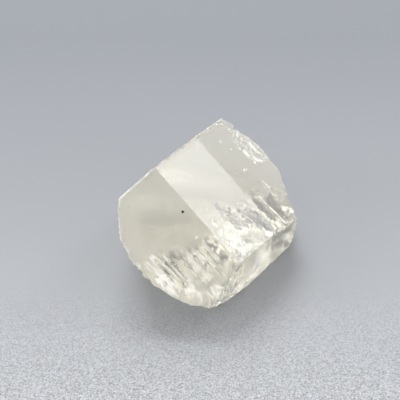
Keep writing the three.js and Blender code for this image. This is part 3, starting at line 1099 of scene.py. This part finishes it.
grains = bmesh.new()
for across, depth, radius in GRAINS:
    centre = place_on("broad", across, depth, radius * (1 - GRAIN_SHOWS))
    place = Matrix.Translation(centre)
    ball = bmesh.ops.create_icosphere(grains, subdivisions=2, radius=radius * MM, matrix=place)
    for v in ball["verts"]:
        v.co += (v.co - centre) * LUMPINESS * noise.noise(v.co / (radius * MM))
grains_mesh = bpy.data.meshes.new("dark_grains")
grains.to_mesh(grains_mesh)
grains.free()
specks = add_object("dark_grains", grains_mesh)
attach(specks, "root")
print("dark_grains:", len(GRAINS), "grains,", len(grains_mesh.polygons), "faces")

# %% [markdown]
# ## Clear stone
#
# Topaz bends light with an index of 1.62. This one is pale: light that passes through loses a little
# blue, so the stone looks faintly yellow where it is thick. A small part of the light is scattered at
# the surface instead of let in, because no natural face is spotless. How rough a face is comes from the
# share of frosting on the mesh.

# %% Material of the clear stone
TOPAZ_TINT = (0.985, 0.975, 0.935, 1)
CLARITY = 0.85
ABSORBED_TINT = (0.93, 0.90, 0.72, 1)
ABSORPTION = 22.0  # per metre
POLISH = 0.02  # roughness where nothing is frosted
FROSTING = 1.0  # roughness where all is frosted


def new_material(name):
    """A new material, with its nodes, its links and its main shader."""
    material = bpy.data.materials.new(name)
    material.use_nodes = True
    nodes = material.node_tree.nodes
    return material, nodes, material.node_tree.links, nodes["Principled BSDF"]


topaz, nodes, links, shader = new_material("clear_topaz")
shader.inputs["Base Color"].default_value = TOPAZ_TINT
shader.inputs["Transmission Weight"].default_value = CLARITY
shader.inputs["IOR"].default_value = TOPAZ_IOR
frost_share = nodes.new("ShaderNodeAttribute")
frost_share.attribute_name = "frost"
rough = nodes.new("ShaderNodeMapRange")
rough.inputs["To Min"].default_value = POLISH
rough.inputs["To Max"].default_value = FROSTING
links.new(frost_share.outputs["Fac"], rough.inputs["Value"])
links.new(rough.outputs["Result"], shader.inputs["Roughness"])
absorb = nodes.new("ShaderNodeVolumeAbsorption")
absorb.inputs["Color"].default_value = ABSORBED_TINT
absorb.inputs["Density"].default_value = ABSORPTION
links.new(absorb.outputs["Volume"], nodes["Material Output"].inputs["Volume"])
stone_mesh.materials.append(topaz)

# %% [markdown]
# ## Crushed stone and painted glints
#
# Crushed topaz is white for the same reason as snow: every grain is clear, but light is turned at each
# of them until it comes back out. The same white also paints the glints and highlights. It is an opaque,
# rough white with a fine grain of duller spots.

# %% Material of the crushed stone and the painted glints
# white of crushed stone, and of the painted glints and highlights
GLINT_AND_CRUSH_PALE = (0.96, 0.95, 0.91, 1)
GLINT_AND_CRUSH_DULL = (0.80, 0.79, 0.75, 1)
GLINT_AND_CRUSH_GRAIN = 9000.0  # per metre
GLINT_AND_CRUSH_ROUGHNESS = 0.6

glint_and_crush, nodes, links, shader = new_material("glint_and_crush_topaz")
shader.inputs["Roughness"].default_value = GLINT_AND_CRUSH_ROUGHNESS
place = nodes.new("ShaderNodeTexCoord")
grain = nodes.new("ShaderNodeTexNoise")
grain.inputs["Scale"].default_value = GLINT_AND_CRUSH_GRAIN
links.new(place.outputs["Object"], grain.inputs["Vector"])
whiteness = nodes.new("ShaderNodeMix")
whiteness.data_type = "RGBA"
whiteness.inputs["A"].default_value = GLINT_AND_CRUSH_DULL
whiteness.inputs["B"].default_value = GLINT_AND_CRUSH_PALE
links.new(grain.outputs["Fac"], whiteness.inputs["Factor"])
links.new(whiteness.outputs["Result"], shader.inputs["Base Color"])
stone_mesh.materials.append(glint_and_crush)

# %% [markdown]
# ## The gaps
#
# A crack is a surface between stone and air seen from within, so it needs the stone's own index. The
# clear kind is nearly smooth and mirrors like the inside of a bubble. The frosted kind is rough and
# spreads its glint. The grey kind takes away light each time it is crossed, so where several overlap
# the stone goes dull: painted shade.

# %% Materials of the three kinds of cracks
# for each kind: colour, share of light let through, and roughness
CRACK_LOOKS = {
    "clear": ((1, 1, 1, 1), 0.85, 0.03),
    "frosted": ((1, 1, 0.98, 1), 0.9, 0.3),
    # a grey that darkens the stone where these cracks lie: painted shade
    "stained": ((0.52, 0.505, 0.50, 1), 0.7, 0.4),
}
for kind, (colour, clarity, roughness) in CRACK_LOOKS.items():
    gap, nodes, links, shader = new_material(f"{kind}_crack")
    shader.inputs["Base Color"].default_value = colour
    shader.inputs["Transmission Weight"].default_value = clarity
    shader.inputs["IOR"].default_value = TOPAZ_IOR
    shader.inputs["Roughness"].default_value = roughness
    crack_meshes[kind].materials.append(gap)

# %% [markdown]
# ## The dark grains
#
# The grains are an opaque dark mineral, most likely an iron or manganese oxide. They are nearly black
# and dull.

# %% Material of the dark grains
NEARLY_BLACK = (0.012, 0.011, 0.01, 1)
GRAIN_ROUGHNESS = 0.7

black, nodes, links, shader = new_material("dark_grain")
shader.inputs["Base Color"].default_value = NEARLY_BLACK
shader.inputs["Roughness"].default_value = GRAIN_ROUGHNESS
grains_mesh.materials.append(black)

# %% [markdown]
# ## The floor
#
# The stone lies on a sheet of pale grey paper. Its colour is painted a little darker towards the back:
# painted shade, for the lesser light that falls there. Near the front its grit can be seen. The sheet
# lies a hair below the stone's lowest point, so that they do not share a surface.

# %% The sheet of paper
FLOOR_HALF = 1.5  # half the width and depth of the sheet
FLOOR_DROP = 0.2 * MM
FLOOR_ROUGHNESS = 0.8
# painted shade: the paper runs from this colour at the front to a darker one at the back
FLOOR_FRONT_LIT = (0.38, 0.395, 0.42, 1)
FLOOR_BACK_SHADED = (0.215, 0.23, 0.26, 1)
FLOOR_SPAN = (-50 * MM, 60 * MM)  # from front to back
GRIT_SPAN = (-36 * MM, -8 * MM)  # from where the grit shows fully to where it is gone
GRIT_SCALE = 3200.0  # per metre

floor_mesh = bpy.data.meshes.new("floor")
corner_signs = ((-1, -1), (1, -1), (1, 1), (-1, 1))
floor_corners = [(x * FLOOR_HALF, y * FLOOR_HALF, -FLOOR_DROP) for x, y in corner_signs]
floor_mesh.from_pydata(floor_corners, [], [(0, 1, 2, 3)])
floor = add_object("floor", floor_mesh)
paper, nodes, links, shader = new_material("pale_floor")
shader.inputs["Roughness"].default_value = FLOOR_ROUGHNESS
place = nodes.new("ShaderNodeTexCoord")
axes = nodes.new("ShaderNodeSeparateXYZ")
links.new(place.outputs["Object"], axes.inputs["Vector"])
grit = nodes.new("ShaderNodeTexNoise")
grit.inputs["Scale"].default_value = GRIT_SCALE
links.new(place.outputs["Object"], grit.inputs["Vector"])
backwards = nodes.new("ShaderNodeMapRange")
backwards.inputs["From Min"].default_value, backwards.inputs["From Max"].default_value = FLOOR_SPAN
links.new(axes.outputs["Y"], backwards.inputs["Value"])
shade = nodes.new("ShaderNodeMix")
shade.data_type = "RGBA"
shade.inputs["A"].default_value = FLOOR_FRONT_LIT
shade.inputs["B"].default_value = FLOOR_BACK_SHADED
links.new(backwards.outputs["Result"], shade.inputs["Factor"])
near = nodes.new("ShaderNodeMapRange")
near.inputs["From Min"].default_value, near.inputs["From Max"].default_value = GRIT_SPAN
near.inputs["To Min"].default_value, near.inputs["To Max"].default_value = 1.0, 0.0
links.new(axes.outputs["Y"], near.inputs["Value"])
gritty = nodes.new("ShaderNodeMix")
gritty.data_type = "RGBA"
gritty.blend_type = "OVERLAY"
links.new(near.outputs["Result"], gritty.inputs["Factor"])
links.new(shade.outputs["Result"], gritty.inputs["A"])
links.new(grit.outputs["Fac"], gritty.inputs["B"])
links.new(gritty.outputs["Result"], shader.inputs["Base Color"])
floor_mesh.materials.append(paper)
print("floor:", 2 * FLOOR_HALF, "m wide,", FLOOR_DROP / MM, "mm below the stone")

# %% [markdown]
# ## Light
#
# An even white surrounding gives most of the light. Four soft lights shape the stone. The side light is
# the one that the bright face mirrors, which is why that face is white. It stands a little further round
# than a true mirror would have it, so that the side face does not mirror it too. The window light comes
# from behind, goes in through the cleavage and makes the cracks flash. The left light brightens the left
# wall, and the low light keeps the ramp from going dull.

# %% Surroundings and lights
WORLD_COLOUR = (1, 0.98, 0.95, 1)
WORLD_STRENGTH = 0.9
AWAY_FROM_SIDE = 0.3  # keeps the reflection of the side light off the side face

world = bpy.data.worlds.new("room")
bpy.context.scene.world = world
world.use_nodes = True
world.node_tree.nodes["Background"].inputs["Color"].default_value = WORLD_COLOUR
world.node_tree.nodes["Background"].inputs["Strength"].default_value = WORLD_STRENGTH


def soft_light(name, direction, distance, width, radiance):
    """A round soft light, aimed at the origin. Its power follows from how bright its surface looks."""
    lamp = bpy.data.lights.new(name, "AREA")
    lamp.shape = "DISK"
    lamp.size = width
    lamp.energy = radiance * math.pi * math.pi * (width / 2) ** 2
    return aim(add_object(name, lamp), direction.normalized() * distance, Vector((0, 0, 0)))


def mirrored(direction, name):
    """A direction after it is mirrored by a face."""
    return (direction - 2 * direction.dot(flats[name][0]) * flats[name][0]).normalized()


side_direction = mirrored(look, "bright").lerp(mirrored(look, "side"), -AWAY_FROM_SIDE).normalized()
soft_light("side_light", side_direction, 0.8, 0.18, 6.6)
soft_light("window_light", WINDOW_DIRECTION, 1.0, 0.6, 8.0)
soft_light("low_light", Vector((0.8, -0.6, 0.3)), 1.0, 0.5, 2.6)
soft_light("left_light", Vector((-0.9, -0.15, 0.35)), 1.0, 0.5, 4.0)

# %% [markdown]
# ## Render settings
#
# Light crosses many surfaces inside a cracked stone, so it is followed for many bounces; with few, the
# cracks would turn black. The plain standard view keeps the whites of the stone white.

# %% Bounces, noise and view
view = bpy.context.scene.view_settings
view.view_transform = "Standard"
cycles = bpy.context.scene.cycles
cycles.max_bounces = 32
cycles.transmission_bounces = 32
cycles.glossy_bounces = 16
cycles.use_denoising = True
print("bounces:", cycles.max_bounces, "view:", view.view_transform)
